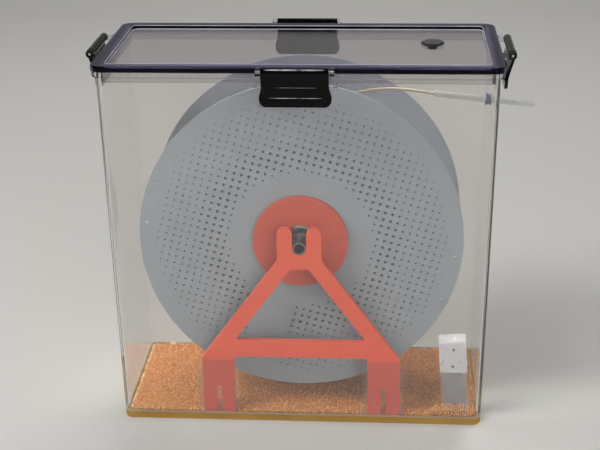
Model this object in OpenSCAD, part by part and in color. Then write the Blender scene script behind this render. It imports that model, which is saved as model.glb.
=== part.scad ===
// Filament dryer box: a clear lidded container that holds one spool of printer filament on an
// axle, above a bed of drying beads, with the filament led out through a tube in the side wall.
// X runs across the wide front, Y from the front to the back and Z up. The origin is the middle
// of the container's underside. All lengths are millimetres.

/* [Container] */
// Outside width of the container at its foot
base_w = 226.2; // [222:0.2:235]
// Outside depth of the container at its foot
base_d = 96.4; // [95.4:0.2:105]
// Height of the container's rim above the surface it stands on
rim_z = 229.7; // [228:0.1:240]
// How far each wall leans out from foot to rim
draft = 3.2; // [1.5:0.1:4]
// Wall thickness
wall_t = 2.2; // [1.6:0.1:2.8]
// Floor thickness
floor_t = 4.6; // [2:0.1:5]
// Outside radius of the upright corners
corner_r = 5; // [4.5:0.5:9]
// Radius between the walls and the underside
foot_r = 1.4; // [1:0.1:1.8]
// How far the rim flange stands out from the wall
flange_out = 2.3; // [1.8:0.1:3]
// Height of the rim flange
flange_h = 3.2; // [2.6:0.1:5]
// Height of the catch rib below the flange, from top to bottom
catch_h = 4.9; // [3:0.1:5.2]
// How far a latch reaches past each end of its catch rib
catch_short = 1.3; // [0.5:0.1:6]
// Thickness of the two small blocks that guide each latch
guide_t = 2.4; // [1.6:0.1:3]

/* [Lid] */
// Gap between the container's rim and the lid's skirt
lid_gap = 0.3; // [0.2:0.1:0.6]
// How far the lid's rim stands out past the container's flange
lid_over = 0.5; // [0.2:0.1:1]
// Height of the lid's rim
lid_rim_h = 3.3; // [3.2:0.1:4]
// Width of the lid's rim from its outer edge to the recess
lid_rim_w = 8; // [7:0.5:11]
// Depth of the recess in the lid's top
lid_recess = 2.4; // [1:0.1:2.6]
// Thickness of the lid's flat panel
lid_panel_t = 2; // [1.5:0.1:2.5]
// Radius of the lid's upright corners
lid_corner_r = 7.5; // [6:0.5:10]
// Rounding of the lid rim's top edges
lid_edge_r = 0.9; // [0.4:0.1:1.2]
// Thickness of the plug wall that drops inside the container
plug_wall_t = 1.6; // [1.2:0.1:2]
// Depth of the plug wall below the container's rim
plug_wall_h = 7; // [6:0.1:9]
// Gap between the plug wall and the container's wall
plug_wall_gap = 0.6; // [0.4:0.1:1]
// Width of the seal in the lid's rim
seal_w = 3.4; // [2.4:0.1:3.8]
// Height of the seal
seal_h = 2.6; // [1.8:0.1:2.7]

/* [Latches] */
// Width of a latch at its hinge
latch_w = 38.6; // [36:0.1:42]
// How far the finger lip stands out past each side of the latch
lip_flare = 1.4; // [0.5:0.1:3]
// Height of a latch's lower edge above the standing surface, when snapped
latch_foot_z = 211.2; // [208:0.1:212]
// Radius of the latch's hinge barrel
barrel_r = 2.6; // [2.4:0.1:2.8]
// Height of the hinge axis above the lid's skirt
hinge_up = 2.2; // [2:0.1:2.6]
// Gap between the hinge barrel and the lid's rim
barrel_gap = 3; // [2.4:0.1:3.6]
// Radius of the hinge pin
pin_r = 0.8; // [0.6:0.05:1]
// Running clearance round the hinge pin
pin_play = 0.05; // [0.03:0.01:0.1]
// Thickness of the lid's ears that hold the pin
ear_t = 2.8; // [2:0.1:4]
// Gap between a latch and an ear
ear_gap = 0.35; // [0.3:0.05:0.6]
// How far the latch's hook reaches under the catch rib, when snapped
hook_bite = 0.8; // [0.5:0.1:0.9]
// Gap between the hook and the underside of the catch rib
hook_gap = 0.3; // [0.2:0.05:0.5]
// Thickness of the latch's plate
latch_t = 1.8; // [1.5:0.1:2.2]
// How far each latch hangs open from its snapped position, in degrees
latch_ajar = 5.5; // [5.5:0.5:12]

/* [Lid plug] */
// Distance of the plug from the lid's middle, along the lid
plug_x = 79; // [60:1:88]
// Distance of the plug from the lid's middle, across the lid
plug_y = 10; // [-20:1:20]
// Width of the plug's hexagon head across its flats
plug_af = 12; // [10:0.5:14]
// Height of the plug's head
plug_head_h = 1.6; // [1.2:0.1:3]
// Radius of the plug's shank
plug_shank_r = 2.4; // [2:0.1:3.2]
// Length of the plug's shank below the lid's panel
plug_shank_len = 2; // [1.4:0.1:4]

/* [Stands] */
// Thickness of each stand
stand_t = 4; // [3:0.5:8]
// Width of a stand across its legs
stand_w = 123.8; // [110:0.1:136]
// Width of each leg
leg_w = 20.1; // [16:0.1:24]
// Height of the shoulder where each leg meets its arm
shoulder_z = 43.5; // [40:0.1:55]
// Height of the crossbar's underside
bar_z = 44.5; // [40:0.1:48]
// Height of the crossbar
bar_h = 11.1; // [8:0.1:16]
// Width of each arm across its length
arm_w = 9.5; // [8:0.1:12]
// Width of the yoke that holds the axle
yoke_w = 27.1; // [25:0.1:32]
// Height where the arms meet the yoke
yoke_z = 110; // [106:0.1:111]
// Height of the inner arch under the yoke
arch_z = 104.4; // [98:0.1:105]
// Room at each side of the axle in its slot
slot_play = 0.3; // [0.25:0.05:1]
// Height of the top of the yoke's two prongs
prong_z = 131.4; // [128:0.1:138]
// Width of the slot in the foot of each leg
leg_slot_w = 3.2; // [2:0.1:4]
// Height of the top of the slot in each leg
leg_slot_z = 23; // [15:0.5:30]
// Thickness of the pads between the stands' legs and the wall
pad_t = 0.8; // [0.5:0.1:0.9]
// How far each pad shows beside its leg
pad_over = 2.8; // [1:0.1:4]
// Height of the top of the pads
pad_z = 42; // [30:1:44]

/* [Axle and bearings] */
// Height of the axle above the standing surface
axle_z = 118; // [116:0.5:119]
// Radius of the axle tube
axle_r = 4; // [4:0.1:4.2]
// Wall thickness of the axle tube
axle_wall = 0.8; // [0.6:0.1:1.2]
// How far the axle's ends lie inside the stands' outer faces
axle_in = 0.5; // [0.2:0.1:3]
// Outside radius of a bearing
bearing_r = 11; // [10.5:0.1:11.5]
// Width of a bearing
bearing_w = 7; // [6:0.5:8]
// Outside radius of a bearing's inner ring
inner_ring_r = 6.1; // [5.8:0.1:6.3]
// Inside radius of a bearing's outer ring
outer_ring_r = 9.3; // [9.1:0.1:9.5]
// Radius of a bearing ball
ball_r = 1.98; // [1.9:0.02:2]
// Number of balls in a bearing
ball_count = 7; // [6:1:8]
// Thickness of a bearing seal
bearing_seal_t = 0.6; // [0.4:0.1:0.8]

/* [Spool] */
// Radius of the spool's flanges
spool_r = 99.6; // [97:0.1:101]
// Width of the spool over its flanges
spool_w = 61; // [54:0.5:62]
// Thickness of each flange
spool_flange_t = 2.2; // [1.8:0.1:3]
// Outside radius of the spool's barrel
spool_barrel_r = 40; // [36:0.5:42]
// Radius of the spool's bore
spool_bore_r = 26.3; // [25:0.1:28]
// Outside radius of the filament wound on the spool
winding_r = 69.5; // [60:0.5:80]
// Room between the winding and each flange
winding_gap = 2.4; // [0.2:0.1:4]
// Diameter of the filament
filament_d = 1.75; // [1.5:0.05:2]
// Distance between neighbouring holes in a flange
perf_pitch = 4.5; // [4.2:0.1:6]
// Tilt of the hole pattern, in degrees
perf_tilt = 15.1; // [-45:0.1:45]
// Radius of the innermost ring of holes
perf_in_r = 43.5; // [42.5:0.5:55]
// Radius of the outermost ring of holes
perf_out_r = 90; // [70:0.5:91]
// Radius of the largest holes in the flange
perf_hole_r = 0.95; // [0.6:0.05:1.2]
// Place of the plain strip for a label, across the hole pattern
label_mid = -4; // [-10:0.5:10]
// Width of the plain strip
label_w = 20; // [10:1:30]
// Radius of the hub adapters' discs
hub_disc_r = 29.3; // [28.5:0.1:34]
// Thickness of the hub adapters' discs
hub_disc_t = 3; // [2:0.1:3.3]
// Depth of the hub adapters' plugs inside the spool
hub_plug_len = 14; // [10:0.5:20]

/* [Drying beads] */
// Height of the bed of beads above the floor
bead_bed_h = 1.9; // [1:0.1:6]
// Distance between the bed and the container's walls
bead_margin = 1.6; // [0.3:0.1:2]

/* [Filament outlet] */
// Outside radius of the guide tube
tube_r = 2; // [1.8:0.1:2.2]
// Bore radius of the guide tube
tube_bore_r = 1; // [0.95:0.01:1.1]
// How far the tube reaches into the box from the wall's inner face
tube_in = 33.2; // [24:0.1:38]
// Height of the tube's inner end
tube_z0 = 201; // [198:0.5:203]
// Distance of the tube behind the middle of the box
tube_y = 7; // [-15:0.5:15]
// Length of the guide tube
tube_len = 61; // [50:0.5:80]
// Fall of the guide tube towards the outside, in degrees
tube_fall = 6; // [0:0.5:8]
// Radius of the grommet where it passes through the wall
grommet_r = 2.8; // [2.6:0.1:3.2]
// Radius of the grommet's two lips
grommet_lip_r = 3.6; // [3.5:0.1:5]

/* [Humidity gauge] */
// Width of the gauge
gauge_w = 17; // [14:0.5:20]
// Height of the gauge
gauge_h = 49; // [40:0.5:60]
// Depth of the gauge
gauge_d = 11; // [8:0.5:14]
// Lean of the gauge to the side, in degrees
gauge_lean = 4; // [0:0.5:8]
// Gap between the gauge's foot and the container's right wall
gauge_gap = 4.9; // [4:0.1:12]

/* [Hidden] */
$fn = 48;

skin = 0.01;        // overlap that joins two shapes into one
seat_gap = 0.2;     // gap round a piece that stands in another

// Half widths and depths of the container's outside at height z
function lean(z) = draft * z / rim_z;
function half_w(z) = base_w / 2 + lean(z);
function half_d(z) = base_d / 2 + lean(z);
flange_w = 2 * (half_w(rim_z) + flange_out);
flange_d = 2 * (half_d(rim_z) + flange_out);
flange_z = rim_z - flange_h;
catch_z = flange_z - catch_h;

// Lid
skirt_z = rim_z + lid_gap;
lid_top_z = skirt_z + lid_rim_h;
lid_w = flange_w + 2 * lid_over;
lid_d = flange_d + 2 * lid_over;
recess_z = lid_top_z - lid_recess;
panel_under_z = recess_z - lid_panel_t;
plug_foot_z = rim_z - plug_wall_h;
plug_out_w = 2 * (half_w(plug_foot_z) - wall_t - plug_wall_gap);
plug_out_d = 2 * (half_d(plug_foot_z) - wall_t - plug_wall_gap);
plug_out_r = corner_r - wall_t;                    // the plug wall's corner radius, outside
seal_mid = (flange_out + wall_t) / 2 + lid_over;   // middle of the seal from the lid's edge

// Stands: their outer faces lie behind the pads, and the axle ends inside them
stand_face_y = half_d(0) - wall_t - seat_gap - pad_t;
slot_w = 2 * (axle_r + slot_play);
axle_len = 2 * (stand_face_y - axle_in);

// Latches, in a frame whose X points out from the lid rim's face, Y along it and Z up
latch_lip_w = latch_w + 2 * lip_flare;
catch_len = latch_w - 2 * catch_short;
hinge_x = barrel_r + barrel_gap;
hinge_z = skirt_z + hinge_up;
rib_x = -lid_over;                                 // face of the flange and of the catch rib
hook_z = catch_z - hook_gap;
hook_x = rib_x - hook_bite;                        // tip of the latch's hook
knee_z = latch_foot_z + 6.8;                       // where a latch's plate turns upright
knee_x = latch_t + 0.5;                            // outer face of the plate at the knee
foot_x = knee_x - 0.9;                             // outer face of the lip at its foot
plate_r = barrel_r - 0.05;                         // the plate's faces end just inside the barrel
plate_lean = (hinge_x + plate_r - knee_x) / (hinge_z - knee_z);
function plate_in(z) = knee_x - 1.05 * latch_t + (z - knee_z) * plate_lean;
pin_len = latch_w + 2 * (ear_gap + ear_t);
SIDES = ["right", "back", "left", "front"];
function side_angle(side) = 90 * search([side], SIDES)[0];
function side_reach(side) = (side == "left" || side == "right") ? lid_w / 2 : lid_d / 2;

// Bearings and hub adapters, measured outward from the spool's middle
hub_face_y = spool_w / 2 + hub_disc_t;
bearing_mid_y = hub_face_y - bearing_w / 2;
groove_mid_r = (inner_ring_r + outer_ring_r) / 2;
race_play = 0.04;                                  // gap between a ball and its grooves

// Shared shapes ---------------------------------------------------------------------------

// Rectangle with round corners
module rounded_rect(w, d, r) {
    square([w - 2 * r, d], center = true);
    square([w, d - 2 * r], center = true);
    for (x = [-1, 1], y = [-1, 1]) translate([x * (w / 2 - r), y * (d / 2 - r)]) circle(r);
}

// Thin level slice of the leaning container, a given distance inside its outer face
module tub_slice(inset, z) {
    translate([0, 0, z]) linear_extrude(skin)
        rounded_rect(2 * (half_w(z) - inset), 2 * (half_d(z) - inset), max(corner_r - inset, 0.4));
}

// Solid that follows the container's leaning walls between two heights, its lower edge rounded
module tub_form(inset, z0, z1, edge_r) {
    hull() {
        for (a = [0:22.5:90]) tub_slice(inset + edge_r * (1 - sin(a)), z0 + edge_r * (1 - cos(a)));
        tub_slice(inset, z1 - skin);
    }
}

// Frame on one side of the lid: X out from the rim's face, Y along it
module on_side(side) {
    rotate([0, 0, side_angle(side)]) translate([side_reach(side), 0, 0]) children();
}

// Section drawn in X and Z, given its length along Y
module along(length) { rotate([90, 0, 0]) linear_extrude(length, center = true) children(); }

// Frame of the axle: Z runs along it to the back, and Y points down
module on_axle() { translate([0, 0, axle_z]) rotate([-90, 0, 0]) children(); }

// Frame at one end of the spool: Z runs outward from the spool's middle
module spool_end(end) { on_axle() mirror([0, 0, end == "front" ? 1 : 0]) children(); }

// Ring between two radii, standing on the XY plane
module ring(r_out, r_in, h) {
    difference() {
        cylinder(h, r = r_out);
        translate([0, 0, -1]) cylinder(h + 2, r = r_in);
    }
}

// Points that round the corner b of the path a, b, c
function unit(v) = v / norm(v);
function corner_arc(a, b, c, r, steps = 5) =
    let (u = unit(a - b), v = unit(c - b), half = acos(u * v) / 2,
         mid = b + unit(u + v) * r / sin(half),
         from = b + u * r / tan(half) - mid, to = b + v * r / tan(half) - mid,
         start = atan2(from.y, from.x), turn = (atan2(to.y, to.x) - start + 540) % 360 - 180)
    [for (i = [0:steps]) mid + r * [cos(start + turn * i / steps), sin(start + turn * i / steps)]];

// Polygon with each corner rounded; a point is [x, y, radius]
module rounded_polygon(points) {
    n = len(points);
    flat = [for (p = points) [p.x, p.y]];
    polygon([for (i = [0:n - 1]) each points[i].z > 0
        ? corner_arc(flat[(i + n - 1) % n], flat[i], flat[(i + 1) % n], points[i].z)
        : [flat[i]]]);
}

// Container --------------------------------------------------------------------------------

module container_tub() {
    color([0.93, 0.94, 0.94, 0.35]) difference() {
        union() {
            tub_form(0, 0, rim_z, foot_r);
            translate([0, 0, flange_z]) linear_extrude(flange_h)
                rounded_rect(flange_w, flange_d, corner_r + flange_out);
            for (side = SIDES) on_side(side) latch_seat();
        }
        tub_form(wall_t, floor_t, rim_z + 1, foot_r / 2);
        along_tube(tube_cross) cylinder(4 * wall_t, r = grommet_r, center = true);
    }
}

// Catch rib and guide blocks below the flange on one side of the container
guide_y = latch_lip_w / 2 + ear_gap + guide_t / 2 + 0.5;
module latch_seat() {
    root = rib_x - flange_out - wall_t / 2;
    translate([root, -catch_len / 2, catch_z])
        cube([rib_x - root, catch_len, catch_h + skin]);
    for (y = [-1, 1]) translate([root, y * guide_y - guide_t / 2, catch_z])
        cube([rib_x - root, guide_t, catch_h + skin]);
}

module desiccant_beads() {
    color("#B8823F") difference() {
        tub_form(wall_t + bead_margin, floor_t, floor_t + bead_bed_h, foot_r / 2);
        for (y = [-1, 1], x = [-1, 1]) translate([x * leg_mid_x, y * (stand_face_y - stand_t / 2), 0])
            linear_extrude(pad_z) square([leg_w + 2 * pad_over + 2 * seat_gap,
                                          stand_t + 2 * pad_t + 2 * seat_gap], center = true);
    }
}

// Stands -----------------------------------------------------------------------------------

bar_top = bar_z + bar_h;
prong_r = 0.245 * (yoke_w - slot_w);               // rounding of each prong's top
leg_mid_x = stand_w / 2 - leg_w / 2;
leg_in_x = stand_w / 2 - leg_w;
slot_mid_z = axle_z - axle_r - 0.05 + slot_w / 2;  // the axle rests at the foot of the slot
shoulder = [stand_w / 2, shoulder_z];
yoke_corner = [yoke_w / 2, yoke_z];
arm_dir = unit(shoulder - yoke_corner);
arm_in = yoke_corner - arm_w * [-arm_dir.y, arm_dir.x];
function arm_in_x(z) = arm_in.x + (z - arm_in.y) * arm_dir.x / arm_dir.y;

// Front outline of a stand: two prongs, a yoke, two arms, a crossbar and two slotted legs
module stand_outline() {
    difference() {
        rounded_polygon([
            [slot_w / 2, prong_z, prong_r], [yoke_w / 2, prong_z, prong_r], [yoke_w / 2, yoke_z, 6],
            [stand_w / 2, shoulder_z, 4], [stand_w / 2, floor_t, 0], [leg_in_x, floor_t, 0],
            [leg_in_x, bar_z, 2], [-leg_in_x, bar_z, 2], [-leg_in_x, floor_t, 0],
            [-stand_w / 2, floor_t, 0], [-stand_w / 2, shoulder_z, 4],
            [-yoke_w / 2, yoke_z, 6], [-yoke_w / 2, prong_z, prong_r], [-slot_w / 2, prong_z, prong_r],
            [-slot_w / 2, slot_mid_z, 0], [slot_w / 2, slot_mid_z, 0]]);
        translate([0, slot_mid_z]) circle(slot_w / 2);
        rounded_polygon([
            [arm_in_x(bar_top), bar_top, 1.5], [arm_in_x(arch_z), arch_z, 2.5],
            [-arm_in_x(arch_z), arch_z, 2.5], [-arm_in_x(bar_top), bar_top, 1.5]]);
        for (x = [-1, 1]) translate([x * leg_mid_x - leg_slot_w / 2, 0]) square([leg_slot_w, leg_slot_z]);
    }
}

module stand(end) {
    color("#E2664A") mirror([0, end == "front" ? 1 : 0, 0])
        translate([0, stand_face_y - stand_t / 2, 0]) along(stand_t) stand_outline();
}
module stand_front() stand("front");
module stand_rear() stand("rear");

pad_foot_z = floor_t + foot_r / 2;                 // above the rounding where wall and floor meet
module pad(x, end) {
    color([0.9, 0.88, 0.86, 0.6]) mirror([0, end == "front" ? 1 : 0, 0])
        translate([x * leg_mid_x, stand_face_y + pad_t / 2, 0]) along(pad_t)
            translate([0, (pad_z + pad_foot_z) / 2])
                rounded_rect(leg_w + 2 * pad_over, pad_z - pad_foot_z, 1.5);
}
module pad_front_left() pad(-1, "front");
module pad_front_right() pad(1, "front");
module pad_rear_left() pad(-1, "rear");
module pad_rear_right() pad(1, "rear");

// Axle and bearings ------------------------------------------------------------------------

module axle_tube() {
    color("#8F9294") on_axle() translate([0, 0, -axle_len / 2]) ring(axle_r, axle_r - axle_wall, axle_len);
}

// Section of one bearing ring, with the groove that the balls run in
module bearing_ring(end, r_out, r_in) {
    spool_end(end) translate([0, 0, bearing_mid_y]) rotate_extrude() difference() {
        translate([r_in, -bearing_w / 2]) square([r_out - r_in, bearing_w]);
        translate([groove_mid_r, 0]) circle(ball_r + race_play);
    }
}
module bearing_front_inner_ring() color("silver") bearing_ring("front", inner_ring_r, axle_r + race_play);
module bearing_rear_inner_ring() color("silver") bearing_ring("rear", inner_ring_r, axle_r + race_play);
module bearing_front_outer_ring() color("silver") bearing_ring("front", bearing_r, outer_ring_r);
module bearing_rear_outer_ring() color("silver") bearing_ring("rear", bearing_r, outer_ring_r);

bearing_seal_gap = 0.3;                            // gap round a seal: to the end face and the inner ring
seal_z = bearing_w / 2 - bearing_seal_gap - bearing_seal_t;   // inner face of each bearing seal
cage_t = 1.4;                                      // wall thickness of the ball cage
cage_gap = 0.15;                                   // gap between the cage and a seal
module bearing_seals(end) {
    color("#202022") spool_end(end) translate([0, 0, bearing_mid_y])
        for (m = [0, 1]) mirror([0, 0, m]) translate([0, 0, seal_z])
            ring(outer_ring_r - 0.02, inner_ring_r + bearing_seal_gap, bearing_seal_t);
}
module bearing_front_seals() bearing_seals("front");
module bearing_rear_seals() bearing_seals("rear");

module ball_set() {
    for (i = [0:ball_count - 1]) rotate([0, 0, i * 360 / ball_count])
        translate([groove_mid_r, 0, 0]) sphere(ball_r);
}
module bearing_front_balls() color("silver") spool_end("front") translate([0, 0, bearing_mid_y]) ball_set();
module bearing_rear_balls() color("silver") spool_end("rear") translate([0, 0, bearing_mid_y]) ball_set();

module bearing_cage(end) {
    half_h = seal_z - cage_gap;
    color("#B08D4A") spool_end(end) translate([0, 0, bearing_mid_y]) difference() {
        translate([0, 0, -half_h]) ring(groove_mid_r + cage_t / 2, groove_mid_r - cage_t / 2, 2 * half_h);
        for (i = [0:ball_count - 1]) rotate([0, 0, i * 360 / ball_count]) rotate([0, 90, 0])
            cylinder(groove_mid_r + 2, r = ball_r + 0.1);
    }
}
module bearing_front_cage() bearing_cage("front");
module bearing_rear_cage() bearing_cage("rear");

// Spool ------------------------------------------------------------------------------------

// Radius of a flange hole at a distance r from the spool's middle
function perf_size(r) = perf_hole_r * lookup(r, [[perf_in_r, 0.45], [50, 1], [57, 1], [67, 0.55],
                                                 [79, 0.85], [perf_out_r, 0.4]]);

// Square grid of holes that grow and shrink with their distance from the middle
module perforations() {
    n = floor(perf_out_r / perf_pitch);
    rotate(perf_tilt) for (i = [-n:n], j = [-n:n]) {
        p = perf_pitch * [i, j];
        plain = p.y > 0 && abs(p.x - label_mid) < label_w / 2;
        if (norm(p) >= perf_in_r && norm(p) <= perf_out_r && !plain)
            translate(p) circle(perf_size(norm(p)));
    }
}

// Four slots near the rim that the filament's free end is tucked into
tuck_r = 1.15;       // half the width of a slot
tuck_len = 0.7;      // distance between the centres of its two round ends
tuck_in = 4.3;       // distance of its middle from the flange's edge
module tuck_slots() {
    for (a = [-9, 9, 171, 189]) rotate(perf_tilt + a) translate([spool_r - tuck_in, 0]) {
        square([2 * tuck_r, tuck_len], center = true);
        for (y = [-1, 1]) translate([0, y * tuck_len / 2]) circle(tuck_r);
    }
}

module spool_flange(end) {
    color("#8C949C") spool_end(end) translate([0, 0, spool_w / 2 - spool_flange_t])
        linear_extrude(spool_flange_t) difference() {
            circle(spool_r);
            circle(spool_bore_r);
            perforations();
            tuck_slots();
        }
}
module spool_flange_front() spool_flange("front");
module spool_flange_rear() spool_flange("rear");

barrel_w = spool_w - 2 * spool_flange_t;
barrel_wall = 2.3;   // thickness of the barrel's two rings and of its ribs

// One of the pockets that leave an outer ring, an inner ring and six ribs
module barrel_pocket() {
    r_in = spool_bore_r + barrel_wall;
    r_out = spool_barrel_r - barrel_wall;
    rounded_polygon([for (corner = [[r_in, -1], [r_out, -1], [r_out, 1], [r_in, 1]])
        let (a = corner.y * (30 - asin(barrel_wall / 2 / corner.x)))
        [corner.x * cos(a), corner.x * sin(a), 1.5]]);
}
module spool_barrel() {
    color("#8C949C") on_axle() difference() {
        cylinder(barrel_w, r = spool_barrel_r, center = true);
        cylinder(barrel_w + 2, r = spool_bore_r, center = true);
        for (a = [0:60:300]) rotate([0, 0, a]) linear_extrude(barrel_w + 2, center = true)
            barrel_pocket();
    }
}

// Wound filament, its outer layer showing each turn
module filament_winding() {
    wound_w = barrel_w - 2 * winding_gap;
    turns = floor(wound_w / filament_d);
    pitch = (wound_w - filament_d) / (turns - 1);
    color("#C9A36A") on_axle() rotate_extrude() {
        translate([spool_barrel_r, -wound_w / 2 + filament_d / 2])
            square([winding_r - filament_d / 2 - spool_barrel_r, wound_w - filament_d]);
        for (i = [0:turns - 1])
            translate([winding_r - filament_d / 2, -wound_w / 2 + filament_d / 2 + i * pitch])
                circle(filament_d / 2);
    }
}

module hub_adapter(end) {
    color("#E2664A") spool_end(end) translate([0, 0, spool_w / 2]) difference() {
        union() {
            cylinder(hub_disc_t, r = hub_disc_r);
            translate([0, 0, -hub_plug_len]) cylinder(hub_plug_len + skin, r = spool_bore_r - 0.1);
        }
        translate([0, 0, hub_disc_t - bearing_w]) cylinder(bearing_w + 1, r = bearing_r + 0.03);
        translate([0, 0, -hub_plug_len - 1]) cylinder(hub_plug_len + bearing_w, r = outer_ring_r - 1);
    }
}
module hub_adapter_front() hub_adapter("front");
module hub_adapter_rear() hub_adapter("rear");

// Filament outlet --------------------------------------------------------------------------

tube_x0 = half_w(tube_z0) - wall_t - tube_in;      // place of the tube's inner end

// Frame on the guide tube's axis, a distance from its inner end
module along_tube(s) {
    translate([tube_x0, tube_y, tube_z0]) rotate([0, 90 + tube_fall, 0]) translate([0, 0, s]) children();
}
tube_cross = (half_w(tube_z0) - wall_t / 2 - tube_x0) / cos(tube_fall);

module guide_tube() { color("#E6E4DE") along_tube(0) ring(tube_r, tube_bore_r, tube_len); }

// Rubber ring round the tube, its two lips holding the wall between them
module tube_grommet() {
    groove = wall_t / 2 + grommet_lip_r * sin(tube_fall + 1);
    lip = groove + 1.2;
    hole = tube_r + 0.02;
    color("#DADADA") along_tube(tube_cross) rotate_extrude() polygon([
        [hole, -lip], [grommet_lip_r, -lip], [grommet_lip_r, -groove], [grommet_r - 0.05, -groove],
        [grommet_r - 0.05, groove], [grommet_lip_r, groove], [grommet_lip_r, lip], [hole, lip]]);
}

// The filament's route from the winding to the tube, in X and Z
lead_gap = 0.35;     // gap between the winding and the lead
lead_off = winding_r + filament_d / 2 + lead_gap;
lead_angle = 106;    // where the lead leaves the winding, from the right
lead_in = 51;        // how far the lead reaches into the guide tube
function tube_point(s) = [tube_x0 + s * cos(tube_fall), tube_z0 - s * sin(tube_fall)];
lead_points = [
    [lead_off * cos(lead_angle + 8), axle_z + lead_off * sin(lead_angle + 8)],
    [lead_off * cos(lead_angle), axle_z + lead_off * sin(lead_angle)],
    [5, 193.6], [27, 199.7], [46, 203.4], [62, 203.4],
    tube_point(0), tube_point(12), tube_point(lead_in)];

// Smooth curve through the route's points, and a round rod swept along it
function blend(a, b, c, d, t) = 0.5 * (2 * b + (c - a) * t + (2 * a - 5 * b + 4 * c - d) * t * t
                                       + (3 * b - a - 3 * c + d) * t * t * t);
lead_curve = let (n = len(lead_points) - 1)
    [for (i = [0:n - 1], k = [0:5]) blend(lead_points[max(i - 1, 0)], lead_points[i],
        lead_points[i + 1], lead_points[min(i + 2, n)], k / 6), lead_points[n]];
module filament_lead() {
    sides = 8;
    last = len(lead_curve) - 1;
    rings = [for (i = [0:last]) let (p = lead_curve[i],
            t = unit(lead_curve[min(i + 1, last)] - lead_curve[max(i - 1, 0)]))
        for (k = [0:sides - 1]) let (c = cos(k * 360 / sides), s = sin(k * 360 / sides))
            [p.x - t.y * c * filament_d / 2, tube_y + s * filament_d / 2, p.y + t.x * c * filament_d / 2]];
    walls = [for (i = [0:last - 1], k = [0:sides - 1])
        let (a = i * sides + k, b = i * sides + (k + 1) % sides) [a, a + sides, b + sides, b]];
    ends = [[for (k = [0:sides - 1]) k], [for (k = [sides - 1:-1:0]) last * sides + k]];
    color("#C9A36A") polyhedron(rings, concat(walls, ends), convexity = 4);
}

// Humidity gauge ---------------------------------------------------------------------------

// Frame at the gauge's foot, leaning with it; the gauge faces away from the front
module gauge_frame() {
    translate([gauge_x, gauge_y, gauge_foot_z]) rotate([0, -gauge_lean, 0]) children();
}
gauge_x = half_w(0) - wall_t - gauge_gap - gauge_w / 2;
gauge_y = -stand_face_y + gauge_d / 2 + 2;
gauge_foot_z = floor_t + bead_bed_h + 0.3 + gauge_w / 2 * sin(gauge_lean);
gauge_wall = 1.4;
cover_h = 0.44 * gauge_h;                          // the cover plate takes the upper part
cover_t = 1.2;
screw_r = 0.5;
screw_head_r = 1;
screw_head_t = 0.3;
groove_w = 0.8;                                    // width and depth of the grooves across the front
display_t = 1.6;
board_t = 1.2;
cell_t = 2.7;
cell_r = 5.8;
display_y = gauge_d / 2 - gauge_wall - 0.9 - display_t / 2;
board_y = display_y - display_t / 2 - 0.5 - board_t / 2;
screw_dx = 1;                                      // the screws stand almost one above the other
function screw_z(i) = gauge_h - cover_h / 2 + (i - 0.5) * 0.54 * cover_h;

// Solid block with its upright edges rounded, centred in X and Y
module block(w, d, h, r) { linear_extrude(h) rounded_rect(w, d, r); }

module gauge_case() {
    color([0.86, 0.86, 0.88, 0.6]) gauge_frame() difference() {
        block(gauge_w, gauge_d, gauge_h, 1.5);
        // Inside, open to the back behind the display
        translate([0, 0, gauge_wall]) block(gauge_w - 2 * gauge_wall, gauge_d - 2 * gauge_wall,
                                            gauge_h - 2 * gauge_wall, 0.8);
        translate([0, gauge_d / 2, gauge_h - cover_h - 2]) along(3 * gauge_wall)
            translate([0, cover_h / 2]) rounded_rect(gauge_w - 5, cover_h - 3, 1);
        // Seat of the cover plate and its screws
        translate([0, -gauge_d / 2, gauge_h - cover_h / 2])
            cube([gauge_w - 2, cover_t, cover_h - 2], center = true);
        for (i = [0, 1]) translate([i * screw_dx - screw_dx / 2, 0, screw_z(i)])
            rotate([90, 0, 0]) cylinder(gauge_d, r = screw_r + 0.05);
        // Two grooves across the lower front
        for (z = [0.2, 0.36]) translate([0, -gauge_d / 2, z * gauge_h])
            cube([gauge_w - 3, groove_w, groove_w], center = true);
    }
}
module gauge_cover() {
    color([0.95, 0.95, 0.97, 0.8]) gauge_frame() difference() {
        translate([0, -gauge_d / 2, gauge_h - cover_h / 2])
            cube([gauge_w - 2.4, cover_t, cover_h - 2.4], center = true);
        for (i = [0, 1]) translate([i * screw_dx - screw_dx / 2, 0, screw_z(i)])
            rotate([90, 0, 0]) cylinder(gauge_d, r = screw_r + 0.1);
    }
}
module gauge_screws() {
    color("#303034") gauge_frame() for (i = [0, 1])
        translate([i * screw_dx - screw_dx / 2, -gauge_d / 2 - cover_t / 2 - screw_head_t, screw_z(i)])
            rotate([-90, 0, 0]) {
                cylinder(screw_head_t, r = screw_head_r);
                cylinder(gauge_wall + 1, r = screw_r);
            }
}
module gauge_display() {
    color("#9AA396") gauge_frame()
        translate([0, display_y, gauge_h - cover_h / 2 - 2]) along(display_t)
            rounded_rect(gauge_w - 2 * gauge_wall - 0.6, cover_h - 1, 0.5);
}
module gauge_board() {
    color("#2F6B3C") gauge_frame() translate([0, board_y, gauge_h / 2]) along(board_t)
        square([gauge_w - 2 * gauge_wall - 0.6, gauge_h - 2 * gauge_wall - 2], center = true);
}
module gauge_cell() {
    color("silver") gauge_frame() translate([0, board_y - board_t / 2 - 0.3, 0.3 * gauge_h])
        rotate([90, 0, 0]) cylinder(cell_t, r = cell_r);
}

// Lid --------------------------------------------------------------------------------------

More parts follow.
